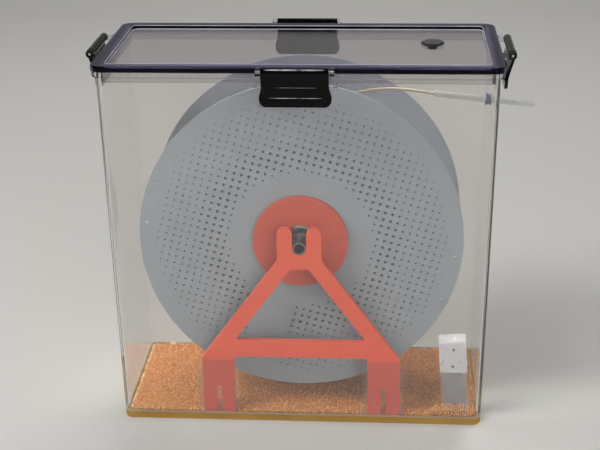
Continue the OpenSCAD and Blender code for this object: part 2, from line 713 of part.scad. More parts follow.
// Two steps of a rounded edge along the top of the lid's rim
module lid_rim_form() {
    hull() {
        translate([0, 0, skirt_z]) linear_extrude(skin) rounded_rect(lid_w, lid_d, lid_corner_r);
        for (a = [0:30:90]) let (inset = lid_edge_r * (1 - cos(a)))
            translate([0, 0, lid_top_z - skin - lid_edge_r * (1 - sin(a))]) linear_extrude(skin)
                rounded_rect(lid_w - 2 * inset, lid_d - 2 * inset, lid_corner_r - inset);
    }
}

module lid_panel() {
    recess_r = max(lid_corner_r - lid_rim_w + 2.5, 0.6);
    flare = 1.6;     // how much wider the recess is at its top than at its foot
    color([0.55, 0.52, 0.66, 0.45]) difference() {
        union() {
            lid_rim_form();
            translate([0, 0, panel_under_z]) linear_extrude(recess_z - panel_under_z)
                rounded_rect(plug_out_w, plug_out_d, plug_out_r);
            translate([0, 0, plug_foot_z]) linear_extrude(recess_z - plug_foot_z) difference() {
                rounded_rect(plug_out_w, plug_out_d, plug_out_r);
                rounded_rect(plug_out_w - 2 * plug_wall_t, plug_out_d - 2 * plug_wall_t,
                             max(plug_out_r - plug_wall_t, 0.5));
            }
            for (side = SIDES) on_side(side) ears();
        }
        // Recess in the top, the seal's groove, the plug's hole and the pins' holes
        hull() for (up = [0, 1]) translate([0, 0, up ? lid_top_z : recess_z]) linear_extrude(skin)
            rounded_rect(lid_w - 2 * lid_rim_w + flare * up, lid_d - 2 * lid_rim_w + flare * up,
                         recess_r + flare / 2 * up);
        seal_groove();
        translate([plug_x, plug_y, 0]) cylinder(lid_top_z, r = plug_shank_r + seat_gap);
        for (side = SIDES) on_side(side) hinge_axis() cylinder(pin_len + 1, r = pin_r + 0.01, center = true);
    }
}

// Ring that follows the lid's rim, of a width and between two heights
module rim_ring(w, z, h) {
    out_w = lid_w - 2 * seal_mid + w;
    out_d = lid_d - 2 * seal_mid + w;
    r = lid_corner_r - seal_mid + w / 2;
    translate([0, 0, z]) linear_extrude(h) difference() {
        rounded_rect(out_w, out_d, r);
        rounded_rect(out_w - 2 * w, out_d - 2 * w, r - w);
    }
}
module seal_groove() rim_ring(seal_w + 0.02, skirt_z - 1, seal_h + 1 - lid_gap);
module lid_seal() color("#14121C") rim_ring(seal_w, rim_z, seal_h - 0.02);

// Frame on a side's hinge axis, its Z along the pin
module hinge_axis() { translate([hinge_x, 0, hinge_z]) rotate([90, 0, 0]) children(); }

// Two ears that hold the ends of a side's hinge pin
module ears() {
    for (y = [-1, 1]) translate([0, y * (latch_w / 2 + ear_gap + ear_t / 2), 0]) along(ear_t) {
        translate([hinge_x, hinge_z]) circle(barrel_r - 0.3);
        translate([-lid_edge_r - 1, skirt_z]) square([hinge_x + lid_edge_r + 1, hinge_z - skirt_z]);
        translate([-lid_edge_r - 1, hinge_z - skin])
            square([hinge_x / 2 + lid_edge_r + 1, lid_rim_h - hinge_up + skin]);
    }
}

module hinge_pin(side) {
    color("silver") on_side(side) hinge_axis() cylinder(pin_len - 0.4, r = pin_r, center = true);
}
module hinge_pin_front() hinge_pin("front");
module hinge_pin_back() hinge_pin("back");
module hinge_pin_left() hinge_pin("left");
module hinge_pin_right() hinge_pin("right");

// Filler plug in the lid: a flat head above the panel and a barbed shank through it
module hexagon(af, h) { cylinder(h, r = af / sqrt(3), $fn = 6); }
module lid_plug() {
    color("#2A2A2C") translate([plug_x, plug_y, recess_z]) {
        hexagon(plug_af, plug_head_h);
        translate([0, 0, -lid_panel_t - plug_shank_len])
            cylinder(lid_panel_t + plug_shank_len + skin, r = plug_shank_r);
        translate([0, 0, -lid_panel_t - plug_shank_len]) cylinder(1, r = plug_shank_r + 2 * seat_gap);
    }
}

// Latches ----------------------------------------------------------------------------------

// Section of a snapped latch below its barrel: plate, hook and finger lip
module latch_section() {
    edge_r = 0.4 * latch_t;
    rounded_polygon([
        [hinge_x + plate_r, hinge_z, 0], [knee_x, knee_z, 8],
        [foot_x, latch_foot_z, edge_r], [foot_x - latch_t, latch_foot_z, edge_r],
        [knee_x - latch_t - 0.2, knee_z - 1, 2],
        [hook_x, hook_z - 1.6, 0.4], [hook_x, hook_z, 0.2], [plate_in(hook_z), hook_z, 0.5],
        [plate_in(hinge_z - plate_r), hinge_z - plate_r, 0], [hinge_x, hinge_z, 0]]);
}

// Front outline of a latch: straight at the hinge, wider at the finger lip
module latch_outline() {
    top = hinge_z + barrel_r + 1;
    w = latch_w / 2;
    lip = latch_lip_w / 2;
    lip_top = latch_foot_z + 6.4;
    foot = latch_foot_z - skin;
    rounded_polygon([[w, top, 0], [w, hook_z + 1, 4], [lip, lip_top, 3], [lip, foot, 4.5],
                     [-lip, foot, 4.5], [-lip, lip_top, 3], [-w, hook_z + 1, 4], [-w, top, 0]]);
}

module latch(side) {
    color("#0E0E10") on_side(side)
        translate([hinge_x, 0, hinge_z]) rotate([0, -latch_ajar, 0]) translate([-hinge_x, 0, -hinge_z])
            difference() {
                intersection() {
                    union() {
                        hinge_axis() cylinder(latch_w, r = barrel_r, center = true);
                        along(latch_lip_w + 2) latch_section();
                    }
                    rotate([90, 0, 90]) translate([0, 0, -10]) linear_extrude(30) latch_outline();
                }
                hinge_axis() cylinder(latch_w + 2, r = pin_r + pin_play, center = true);
            }
}
module latch_front() latch("front");
module latch_back() latch("back");
module latch_left() latch("left");
module latch_right() latch("right");

// Parts ------------------------------------------------------------------------------------

container_tub();
desiccant_beads();
stand_front();
stand_rear();
pad_front_left();
pad_front_right();
pad_rear_left();
pad_rear_right();
axle_tube();
bearing_front_inner_ring();
bearing_rear_inner_ring();
bearing_front_outer_ring();
bearing_rear_outer_ring();
bearing_front_seals();
bearing_rear_seals();
bearing_front_balls();
bearing_rear_balls();
bearing_front_cage();
bearing_rear_cage();
spool_flange_front();
spool_flange_rear();
spool_barrel();
filament_winding();
hub_adapter_front();
hub_adapter_rear();
guide_tube();
tube_grommet();
filament_lead();
gauge_case();
gauge_cover();
gauge_screws();
gauge_display();
gauge_board();
gauge_cell();
lid_panel();
lid_seal();
lid_plug();
hinge_pin_front();
hinge_pin_back();
hinge_pin_left();
hinge_pin_right();
latch_front();
latch_back();
latch_left();
latch_right();
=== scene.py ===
# %% [markdown]
# # A filament dryer box
#
# The object is a clear box with a lid and four latches. Inside it, a spool of filament turns on an axle
# above a bed of drying beads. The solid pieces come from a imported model, in metres, and are never moved
# here. This lesson gives them their finishes, adds what is too small or too many for the solid model, and
# lights the result.

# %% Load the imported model
import math
import random

import bmesh
import bpy
import numpy as np
from mathutils import Matrix, Vector


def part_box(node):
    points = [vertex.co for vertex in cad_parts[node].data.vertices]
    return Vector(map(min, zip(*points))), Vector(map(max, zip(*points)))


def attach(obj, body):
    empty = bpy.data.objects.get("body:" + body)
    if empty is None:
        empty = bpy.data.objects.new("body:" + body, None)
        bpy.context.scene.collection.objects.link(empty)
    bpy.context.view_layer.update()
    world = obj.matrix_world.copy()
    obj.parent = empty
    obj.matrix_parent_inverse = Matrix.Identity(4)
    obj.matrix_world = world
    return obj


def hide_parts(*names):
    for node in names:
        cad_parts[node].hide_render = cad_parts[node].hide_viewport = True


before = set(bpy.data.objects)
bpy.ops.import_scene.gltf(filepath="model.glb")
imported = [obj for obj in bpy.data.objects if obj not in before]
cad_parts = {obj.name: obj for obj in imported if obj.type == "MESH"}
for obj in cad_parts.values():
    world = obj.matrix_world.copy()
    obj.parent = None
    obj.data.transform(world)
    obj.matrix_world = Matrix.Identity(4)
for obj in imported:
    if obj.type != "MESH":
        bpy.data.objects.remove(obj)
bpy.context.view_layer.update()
MM = 0.001

# %% [markdown]
# ## Camera
#
# A product picture reads best when the lens is long, so that upright edges stay nearly parallel. The camera
# looks down at the box by about 22 degrees, from a little to its right. Its place is given by two angles
# and a roll, and a small function turns those into the three axes that Blender's camera needs.

# %% Camera
scene = bpy.context.scene
scene.view_settings.view_transform = "Standard"
CAMERA_PLACE = Vector((0.0539, -0.7759, 0.4324))
CAMERA_YAW = math.radians(-4.155)
CAMERA_DOWN = math.radians(22.17)
CAMERA_ROLL = math.radians(-0.83)
LENS_MM = 79.2
SENSOR_MM = 36


def camera_axes(yaw, down, roll):
    """The camera's right, up and back directions."""
    ahead = Vector((math.sin(yaw) * math.cos(down), math.cos(yaw) * math.cos(down), -math.sin(down)))
    level = Vector((math.cos(yaw), -math.sin(yaw), 0))
    above = level.cross(ahead)
    right = math.cos(roll) * level + math.sin(roll) * above
    up = math.cos(roll) * above - math.sin(roll) * level
    return right, up, -ahead


camera = bpy.data.objects.new("camera", bpy.data.cameras.new("camera"))
scene.collection.objects.link(camera)
camera.data.lens = LENS_MM
camera.data.sensor_width = SENSOR_MM
turned = Matrix(camera_axes(CAMERA_YAW, CAMERA_DOWN, CAMERA_ROLL)).transposed().to_4x4()
camera.matrix_world = Matrix.Translation(CAMERA_PLACE) @ turned
scene.camera = camera
print("camera in mm:", [round(v / MM) for v in CAMERA_PLACE], "lens:", LENS_MM)

# %% [markdown]
# ## Colours and nodes
#
# Colours are easiest to name as the hex values that a paint chart gives, but Blender computes with linear
# light, so one function converts them. A second function adds a node: plain values are set on its sockets,
# a socket given as a value is linked, and its own outputs can be led on to other sockets in the same call.

# %% Colours and nodes
SHARE, FIRST, SECOND = 0, 6, 7    # inputs of a Mix node that mixes two colours
MIXED = 2                         # and its output


def linear(hex_colour):
    """An sRGB hex colour as the linear RGBA that Blender's sockets take, by the numbers of the sRGB curve."""
    parts = [int(hex_colour[i:i + 2], 16) / 255 for i in (1, 3, 5)]
    return [p / 12.92 if p <= 0.04045 else ((p + 0.055) / 1.055) ** 2.4 for p in parts] + [1.0]


def add(tree, kind, sockets=None, leads_to=None, **settings):
    """Adds a node. sockets gives its inputs their values or links, leads_to gives the sockets that its
    outputs are linked to, and the keywords are its other settings."""
    node = tree.nodes.new("ShaderNode" + kind)
    for name, value in settings.items():
        setattr(node, name, value)
    for name, value in (sockets or {}).items():
        if isinstance(value, bpy.types.NodeSocket):
            tree.links.new(value, node.inputs[name])
        else:
            node.inputs[name].default_value = value
    for name, socket in (leads_to or {}).items():
        tree.links.new(node.outputs[name], socket)
    return node


print("mid grey in linear light:", round(linear("#808080")[0], 3))

# %% [markdown]
# ## Finishes
#
# Every finish starts from the Principled shader. Patterns are placed by the point being shaded, in the
# object's own frame, so their sizes are real sizes and they stay on a piece when it moves. A pattern runs
# from 0 to 1, and one function turns that into a range of values or of colours.


# %% Finishes
def new_finish(name, colour, roughness, **sockets):
    """A new material. Returns it, its tree, its shader and the point being shaded, in metres."""
    material = bpy.data.materials.new(name)
    material.use_nodes = True
    tree = material.node_tree
    shader = tree.nodes["Principled BSDF"]
    shader.inputs["Base Color"].default_value = linear(colour)
    shader.inputs["Roughness"].default_value = roughness
    for socket, value in sockets.items():
        shader.inputs[socket.replace("_", " ")].default_value = value
    return material, tree, shader, add(tree, "TexCoord").outputs["Object"]


def vary(tree, shader, socket, pattern, low, high):
    """Feeds a socket from a pattern of 0 to 1, so that it runs between two values or two colours."""
    target = shader.inputs[socket]
    if socket == "Base Color":
        ends = {SHARE: pattern, FIRST: linear(low), SECOND: linear(high)}
        add(tree, "Mix", ends, {MIXED: target}, data_type="RGBA")
    else:
        add(tree, "MapRange", {"Value": pattern, "To Min": low, "To Max": high}, {"Result": target})


def give_finish(material, *starts):
    """Gives a material to the solid pieces whose names start with one of the words given."""
    names = [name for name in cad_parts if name.startswith(starts)]
    for name in names:
        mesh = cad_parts[name].data
        mesh.materials.clear()
        mesh.materials.append(material)
    print(material.name + ":", *names)


# %% [markdown]
# ## Clear plastic
#
# The container is moulded in SAN, a styrene plastic nearly as clear as glass, with almost no roughness and
# an IOR that is typically 1.57. The round upright corners of the walls act as lenses, and at that IOR they
# draw dark bars that the real corners don't have, so here it is matched down to 1.2. Faint haze and fine
# scuffs scatter a few percent of the light instead of passing it. Lamps would leave a solid shadow behind
# walls that bend light, so shadow rays meet a plain see-through shader instead, tinted as the wall is.


# %% Clear plastic
CLEAR_IOR = 1.2
SCUFF_LEAST, SCUFF_MOST = 0.6, 1.5    # roughness between and on the scuffs, as shares of the plain one


def let_lamps_through(tree, shader, tint):
    """Shadow rays pass through the surface, coloured by it."""
    window = add(tree, "BsdfTransparent", {"Color": linear(tint)})
    is_shadow = add(tree, "LightPath").outputs["Is Shadow Ray"]
    add(tree, "MixShader", {0: is_shadow, 1: shader.outputs["BSDF"], 2: window.outputs["BSDF"]},
        {"Shader": tree.nodes["Material Output"].inputs["Surface"]})


def clear_plastic(name, colour, shade, haze, scuff, roughness, ior):
    """Clear moulded plastic. shade tints its shadow, haze is the share of light that it scatters, and
    scuff is the size of its scuffs."""
    material, tree, shader, spot = new_finish(name, colour, roughness, IOR=ior)
    shader.inputs["Transmission Weight"].default_value = 1 - haze
    scuffs = add(tree, "TexNoise", {"Vector": spot, "Scale": 1 / scuff, "Detail": 3.0})
    vary(tree, shader, "Roughness", scuffs.outputs["Fac"], SCUFF_LEAST * roughness, SCUFF_MOST * roughness)
    let_lamps_through(tree, shader, shade)
    return material, tree, shader, spot


clear_san, tree, shader, spot = clear_plastic(
    "clear_san_moulding", "#F1F0EE", shade="#F2F3F2",
    haze=0.04, scuff=9 * MM, roughness=0.02, ior=CLEAR_IOR)
give_finish(clear_san, "container_tub")

# %% [markdown]
# ## Base of the container
#
# The thick floor of a clear box is a light guide: it carries the beads' colour to its edges, which glow
# gold all round. Light led along inside a plate is slow to compute, so the glow is part of the material
# instead. From just above the floor's top down, the clear plastic turns gold and less clear, in soft
# patches, because the beads lie unevenly.

# %% Base of the container
FLOOR_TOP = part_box("desiccant_beads")[0].z
GLOW_STARTS = FLOOR_TOP + 1.4 * MM
GLOW_FULL = FLOOR_TOP + 0.2 * MM
GLOW_PATCH = 30 * MM
WALL_CLEAR, FLOOR_CLEAR = 0.96, 0.45    # transmission of the walls, and of the floor
height = add(tree, "SeparateXYZ", {"Vector": spot}).outputs["Z"]
in_floor = add(tree, "MapRange", {"Value": height, "From Min": GLOW_STARTS, "From Max": GLOW_FULL},
               interpolation_type="SMOOTHSTEP").outputs["Result"]
patches = add(tree, "TexNoise", {"Vector": spot, "Scale": 1 / GLOW_PATCH, "Detail": 2.0}).outputs["Fac"]
gold = add(tree, "Mix", {SHARE: patches, FIRST: linear("#A2743E"), SECOND: linear("#DCAA44")},
           data_type="RGBA")
add(tree, "Mix", {SHARE: in_floor, FIRST: linear("#F1F0EE"), SECOND: gold.outputs[MIXED]},
    {MIXED: shader.inputs["Base Color"]}, data_type="RGBA")
vary(tree, shader, "Transmission Weight", in_floor, WALL_CLEAR, FLOOR_CLEAR)
print("gold below", round(GLOW_STARTS / MM, 1), "mm")

# %% [markdown]
# ## Violet lid
#
# The lid is the same plastic with a violet dye. It is nearly clear where it is thin, and violet where one
# looks along it, so a Volume Absorption node takes a share of the light for each metre that it travels
# inside, as a dye does. The raised rim looks violet from every side, because light goes back and forth in
# its steps. The render follows only a few of those bounces, so the rim's surface is tinted as well.
#
# The tint is kept to the rim by position. It lies within 8 mm of the lid's edge, but not on the ears
# outside that edge, nor on the wall below that plugs into the container.

# %% Violet lid
SEAL_INSET = 1.05 * MM        # from the lid's edge to the seal
RIM_W = 8 * MM
RIM_FADE = 0.8 * MM           # the tint fades in over this width
EAR_FROM, EAR_TO = -0.3 * MM, -0.1 * MM        # the tint ends just outside the lid's edge,
BELOW_FROM, BELOW_TO = -0.9 * MM, -0.5 * MM    # and just below the seal
DYE_DENSITY = 60.0
dyed_san, tree, shader, spot = clear_plastic(
    "violet_dyed_san_moulding", "#E9E7E6", shade="#EFEFF3",
    haze=0.0, scuff=9 * MM, roughness=0.02, ior=CLEAR_IOR)
seal_low, seal_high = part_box("lid_seal")
point = add(tree, "SeparateXYZ", {"Vector": spot}).outputs
from_edges = []
for axis in (0, 1):
    middle = (seal_low[axis] + seal_high[axis]) / 2
    half_width = (seal_high[axis] - seal_low[axis]) / 2 + SEAL_INSET
    aside = add(tree, "Math", {0: point[axis], 1: middle}, operation="SUBTRACT").outputs[0]
    distance = add(tree, "Math", {0: aside}, operation="ABSOLUTE").outputs[0]
    from_edges.append(add(tree, "Math", {0: half_width, 1: distance}, operation="SUBTRACT").outputs[0])
inward = add(tree, "Math", {0: from_edges[0], 1: from_edges[1]}, operation="MINIMUM").outputs[0]
in_rim = add(tree, "MapRange", {"Value": inward, "From Min": RIM_W, "From Max": RIM_W - RIM_FADE})
no_ear = add(tree, "MapRange", {"Value": inward, "From Min": EAR_FROM, "From Max": EAR_TO})
no_wall = add(tree, "MapRange", {"Value": point[2], "From Min": seal_low.z + BELOW_FROM,
                                 "From Max": seal_low.z + BELOW_TO})
tinted = in_rim.outputs["Result"]
for mask in (no_ear, no_wall):
    tinted = add(tree, "Math", {0: tinted, 1: mask.outputs["Result"]}, operation="MULTIPLY").outputs[0]
vary(tree, shader, "Base Color", tinted, "#E6E4E3", "#857FB4")
add(tree, "VolumeAbsorption", {"Color": linear("#7A6FB4"), "Density": DYE_DENSITY},
    {"Volume": tree.nodes["Material Output"].inputs["Volume"]})
give_finish(dyed_san, "lid_panel")

# %% [markdown]
# ## Gauge case and pads
#
# The gauge's case is styrene, moulded in a tool with a fine texture, so it is hazy and its upper half,
# behind the cover, passes little light. The cover is frosted and milky. The pads beside the stands' legs
# are soft clear gel, whose IOR is matched low because they press flat on the wall and nearly vanish against
# it.

# %% Gauge case and pads
CASE_FADE = 1.0 * MM                   # the case turns milky over this height, below the cover's foot
CASE_CLEAR, CASE_MILKY = 0.9, 0.35     # its transmission below and behind the cover
clear_case, tree, shader, spot = clear_plastic(
    "clear_styrene_case", "#E9E5E6", shade="#EDEDF0",
    haze=0.1, scuff=5 * MM, roughness=0.3, ior=1.15)
cover_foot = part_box("gauge_cover")[0].z
height = add(tree, "SeparateXYZ", {"Vector": spot}).outputs["Z"]
behind_cover = add(tree, "MapRange", {"Value": height, "From Min": cover_foot - CASE_FADE,
                                      "From Max": cover_foot})
vary(tree, shader, "Transmission Weight", behind_cover.outputs["Result"], CASE_CLEAR, CASE_MILKY)
give_finish(clear_case, "gauge_case")

frosted_cover = clear_plastic(
    "frosted_styrene_cover", "#D2CFD2", shade="#E4E4EA",
    haze=0.7, scuff=5 * MM, roughness=0.3, ior=1.5)[0]
give_finish(frosted_cover, "gauge_cover")

gel_pad = clear_plastic(
    "clear_gel_pad", "#FAF7F6", shade="#FBF8F6",
    haze=0.03, scuff=6 * MM, roughness=0.06, ior=1.12)[0]
give_finish(gel_pad, "pad_")

# %% [markdown]
# ## Black latches, seal, plug and bearing seals
#
# The latches are ABS moulded against a polished tool: near black, IOR 1.54, roughness about 0.1, with the
# slight waviness that a moulded face has. The pale floor would mirror in them and lift them to grey, so
# their specular level is turned down until they read as black. The seal is silicone rubber, matte and very
# dark blue. It is seen through the rim, whose IOR is close to its own, and mirrors almost nothing there.
# The plug is nylon, a dark grey that is rougher than the latches. The bearings are closed by nitrile
# rubber. The grain of such mouldings is about a tenth of a millimetre. That is too fine to show, so it is
# drawn 0.5 to 0.8 mm coarse.

# %% Black pieces
black_abs, tree, shader, spot = new_finish(
    "black_abs_polished", "#040405", 0.1, IOR=1.54, Specular_IOR_Level=0.12)
RIPPLE, RIPPLE_DEPTH = 14 * MM, 0.15 * MM
SMUDGE = 5 * MM
ripple = add(tree, "TexNoise", {"Vector": spot, "Scale": 1 / RIPPLE, "Detail": 1.0})
add(tree, "Bump", {"Height": ripple.outputs["Fac"], "Distance": RIPPLE_DEPTH},
    {"Normal": shader.inputs["Normal"]})
smudges = add(tree, "TexNoise", {"Vector": spot, "Scale": 1 / SMUDGE, "Detail": 4.0})
vary(tree, shader, "Roughness", smudges.outputs["Fac"], 0.06, 0.2)
give_finish(black_abs, "latch_")


def grained(name, colour, roughness, grain, depth, detail, **sockets):
    """A moulded finish with fine grain. grain is the size of its spots and depth is their height."""
    material, tree, shader, spot = new_finish(name, colour, roughness, **sockets)
    spots = add(tree, "TexNoise", {"Vector": spot, "Scale": 1 / grain, "Detail": detail})
    add(tree, "Bump", {"Height": spots.outputs["Fac"], "Distance": depth},
        {"Normal": shader.inputs["Normal"]})
    return material, tree, shader, spot


seal_rubber = grained("navy_silicone_seal", "#07060C", 0.5, grain=0.8 * MM, depth=0.02 * MM, detail=2.0,
                      IOR=1.41, Specular_IOR_Level=0.08)[0]
give_finish(seal_rubber, "lid_seal")
nylon = grained("dark_nylon", "#2B2B2E", 0.42, grain=0.6 * MM, depth=0.04 * MM, detail=3.0, IOR=1.53)[0]
give_finish(nylon, "lid_plug")
rubber = grained("black_nitrile_rubber", "#17171A", 0.6, grain=0.5 * MM, depth=0.03 * MM, detail=3.0,
                 IOR=1.52)[0]
give_finish(rubber, "bearing_front_seals", "bearing_rear_seals")

# %% [markdown]
# ## Printed stands and hub adapters
#
# These are printed in PLA, a plastic laid down in strokes 0.4 mm wide. A flat printed face shows them as
# fine parallel lines at 45 degrees. So fine a line can't show in a render of this size, so the strokes here
# are 1.1 mm wide and shallow. PLA lets a little light into its surface, red more than the rest, which warms
# its edges.


# %% Printed plastic
ONE_METRE_BANDS = 0.5 / 3.14    # at this scale a Wave texture's bands are about 1 m wide, with gaps as wide
STROKE, STROKE_DEPTH = 1.1 * MM, 0.05 * MM
CLOUD = 18 * MM                 # size of the faint clouds of colour


def printed_pla(name, colour, deep):
    """Printed plastic whose strokes run diagonally across its faces."""
    material, tree, shader, spot = new_finish(
        name, colour, 0.42, IOR=1.46, Subsurface_Weight=0.15, Subsurface_Radius=(1.0, 0.3, 0.15),
        Subsurface_Scale=1.5 * MM)
    diagonal = add(tree, "Mapping", {"Vector": spot, "Rotation": (0, math.radians(45), 0)}).outputs["Vector"]
    strokes = add(tree, "TexWave", {"Vector": diagonal, "Scale": ONE_METRE_BANDS / STROKE,
                                    "Distortion": 0.4, "Detail": 1.0}, bands_direction="X")
    add(tree, "Bump", {"Height": strokes.outputs["Fac"], "Distance": STROKE_DEPTH, "Strength": 0.6},
        {"Normal": shader.inputs["Normal"]})
    cloud = add(tree, "TexNoise", {"Vector": spot, "Scale": 1 / CLOUD, "Detail": 3.0})
    vary(tree, shader, "Base Color", cloud.outputs["Fac"], deep, colour)
    return material


give_finish(printed_pla("orange_printed_pla", "#DC573B", "#D04F35"), "stand_")
# The hub adapters sit behind the stands' yokes, and their orange is drawn darker than the stands' to paint in
# the shade that falls there.
give_finish(printed_pla("shaded_orange_printed_pla", "#BE4B36", "#B14430"), "hub_adapter_")

# %% [markdown]
# ## Spool and filament
#
# The spool is moulded in a blue-grey plastic with a satin texture from a spark-eroded tool: fine grain,
# roughness about 0.4, and wide faint streaks where the plastic flowed. Its grain too is drawn coarser than
# it is, 0.9 mm. The filament is tan PLA, drawn smooth. Its turns are 1.75 mm thick, which is too fine to
# show between the flanges, so a band of the winding stands for two of them. The winding lies in deep
# shade, where the soft light here reaches further than a room's light does, so its colour is set darker
# than the lead's.

# %% Spool and filament
FLOW = 60 * MM
spool_grey, tree, shader, spot = grained(
    "blue_grey_moulded_plastic", "#8C959D", 0.38, grain=0.9 * MM, depth=0.015 * MM, detail=2.0, IOR=1.5)
flow = add(tree, "TexNoise", {"Vector": spot, "Scale": 1 / FLOW, "Detail": 2.0})
vary(tree, shader, "Base Color", flow.outputs["Fac"], "#828890", "#90959B")
vary(tree, shader, "Roughness", flow.outputs["Fac"], 0.32, 0.44)
give_finish(spool_grey, "spool_")

LEAD_SPOT = 7 * MM
tan_pla, tree, shader, spot = new_finish("tan_drawn_pla", "#A08E76", 0.3, IOR=1.46)
along = add(tree, "TexNoise", {"Vector": spot, "Scale": 1 / LEAD_SPOT, "Detail": 3.0})
vary(tree, shader, "Base Color", along.outputs["Fac"], "#958267", "#AB9A82")
give_finish(tan_pla, "filament_lead")

TURN, TURN_DEPTH = 1.75 * MM, 0.5 * MM
shaded_pla, tree, shader, spot = new_finish("shaded_tan_wound_pla", "#685643", 0.4, IOR=1.46)
turns = add(tree, "TexWave", {"Vector": spot, "Scale": ONE_METRE_BANDS / TURN}, bands_direction="Y")
add(tree, "Bump", {"Height": turns.outputs["Fac"], "Distance": TURN_DEPTH},
    {"Normal": shader.inputs["Normal"]})
# The colour is darker where the bands lie low, in the grooves between the turns: painted shade.
vary(tree, shader, "Base Color", turns.outputs["Fac"], "#594A3B", "#776450")
give_finish(shaded_pla, "filament_winding")

# %% [markdown]
# ## Metals
#
# The bearing rings are ground and polished bearing steel, and the axle is a drawn steel tube, greyer and
# rougher, with faint lines along its length from the die, drawn coarser here than the real ones. Stamped
# brass is used for the ball cages. A metal shows no colour from below its surface, only a tinted mirror, so
# its marks are made by changes of roughness alone.


# %% Metals
MARK = 2 * MM                   # size of the faint marks on a metal
DIE_LINE = 0.6 * MM             # between the lines that the die leaves
LINE_STRETCH = (1, 0.02, 1)     # a pattern squeezed to a fiftieth along Y comes out 50 times as long there


def metal(name, colour, roughness, mark=MARK, stretch=(1, 1, 1)):
    """A metal whose roughness varies in marks of the size given."""
    material, tree, shader, spot = new_finish(name, colour, roughness, Metallic=1.0)
    stretched = add(tree, "Mapping", {"Vector": spot, "Scale": stretch}).outputs["Vector"]
    marks = add(tree, "TexNoise", {"Vector": stretched, "Scale": 1 / mark, "Detail": 3.0})
    vary(tree, shader, "Roughness", marks.outputs["Fac"], 0.7 * roughness, 1.4 * roughness)
    return material


steel = metal("ground_bearing_steel", "#B9BBBD", 0.2)
rings_and_balls = [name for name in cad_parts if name.endswith(("_ring", "_balls"))]
give_finish(steel, *rings_and_balls, "hinge_pin", "gauge_screws", "gauge_cell")
give_finish(metal("drawn_steel_tube", "#8E9092", 0.32, DIE_LINE, LINE_STRETCH), "axle_tube")
give_finish(metal("stamped_brass", "#B8924E", 0.3), "bearing_front_cage", "bearing_rear_cage")

# %% [markdown]
# ## Guide tube and the gauge's inside
#
# The guide tube is PTFE, a milky white plastic that light enters and leaves again. Its IOR is typically
# 1.35, and is matched lower because the tube is hollow and its thin wall bends little light. Its grommet is
# soft blue-grey rubber. The gauge has a grey-green display and a circuit board under warm grey solder mask,
# whose tracks are drawn 1.6 mm wide, coarser than real ones, so that they show.

# %% Tube, display and board
STREAK = 5 * MM
ptfe, tree, shader, spot = new_finish("milky_ptfe", "#E6E6E3", 0.35, IOR=1.12, Transmission_Weight=0.72)
streaks = add(tree, "TexNoise", {"Vector": spot, "Scale": 1 / STREAK, "Detail": 2.0})
vary(tree, shader, "Roughness", streaks.outputs["Fac"], 0.25, 0.45)
give_finish(ptfe, "guide_tube")

grommet_rubber = grained(
    "blue_grey_grommet_rubber", "#434B68", 0.4, grain=0.6 * MM, depth=0.03 * MM, detail=2.0, IOR=1.5)[0]
give_finish(grommet_rubber, "tube_grommet")

FILM = 6 * MM
display, tree, shader, spot = new_finish("grey_green_display", "#8E988A", 0.12, IOR=1.5)
film = add(tree, "TexNoise", {"Vector": spot, "Scale": 1 / FILM, "Detail": 1.0})
vary(tree, shader, "Base Color", film.outputs["Fac"], "#869082", "#969F91")
give_finish(display, "gauge_display")

TRACK = 1.6 * MM
solder_mask, tree, shader, spot = new_finish("grey_solder_mask", "#8C8580", 0.3, IOR=1.5)
tracks = add(tree, "TexWave", {"Vector": spot, "Scale": ONE_METRE_BANDS / TRACK, "Distortion": 1.5})
vary(tree, shader, "Base Color", tracks.outputs["Fac"], "#857E79", "#938C87")
give_finish(solder_mask, "gauge_board")

# %% [markdown]
# ## From points to a piece
#
# The rest of the lesson adds pieces of its own. Each is worked out as a list of points and a list of faces,
# and this function makes a mesh object of the two. Computing the points in code keeps each size exact and
# in one place.


# %% Mesh objects
def mesh_object(name, vertices, polygons):
    """A new mesh object from arrays of points and of faces."""
    mesh = bpy.data.meshes.new(name)
    mesh.from_pydata([tuple(v) for v in vertices], [], [tuple(int(i) for i in f) for f in polygons])
    mesh.shade_smooth()
    thing = bpy.data.objects.new(name, mesh)
    scene.collection.objects.link(thing)
    print(name + ":", len(mesh.vertices), "points,", len(mesh.polygons), "faces")
    return thing


# %% [markdown]
# ## A rail along a path
#
# A fine rounded edge can be drawn by a slim rail: a circle swept along the edge. Blender can give a curve
# such a section too, but points worked out here keep the rail's size exact and make a mesh at once. Both
# rails of the lid follow a level rectangle with rounded corners, so one function gives that path.


# %% A rail along a path
CORNER_STEPS = 8
RAIL_SIDES = 8


def rounded_path(half_x, half_y, corner, middle):
    """Points of a rectangle with rounded corners, in order, seen from above."""
    path = []
    for turn, (sign_x, sign_y) in enumerate(((1, 1), (-1, 1), (-1, -1), (1, -1))):
        for step in range(CORNER_STEPS + 1):
            angle = math.pi / 2 * (turn + step / CORNER_STEPS)
            path.append((middle.x + sign_x * (half_x - corner) + corner * math.cos(angle),
                         middle.y + sign_y * (half_y - corner) + corner * math.sin(angle)))
    return path


def swept_rail(name, path, z, radius):
    """A round rail along a closed level path."""
    vertices, polygons = [], []
    for i, (x, y) in enumerate(path):
        following = (i + 1) % len(path)
        along = (Vector(path[following]) - Vector(path[i - 1])).normalized()
        near, far = i * RAIL_SIDES, following * RAIL_SIDES
        for k in range(RAIL_SIDES):
            angle = 2 * math.pi * k / RAIL_SIDES
            aside = radius * math.cos(angle)
            vertices.append((x + along.y * aside, y - along.x * aside, z + radius * math.sin(angle)))
            after = (k + 1) % RAIL_SIDES
            polygons.append((near + k, far + k, far + after, near + after))
    return mesh_object(name, vertices, polygons)
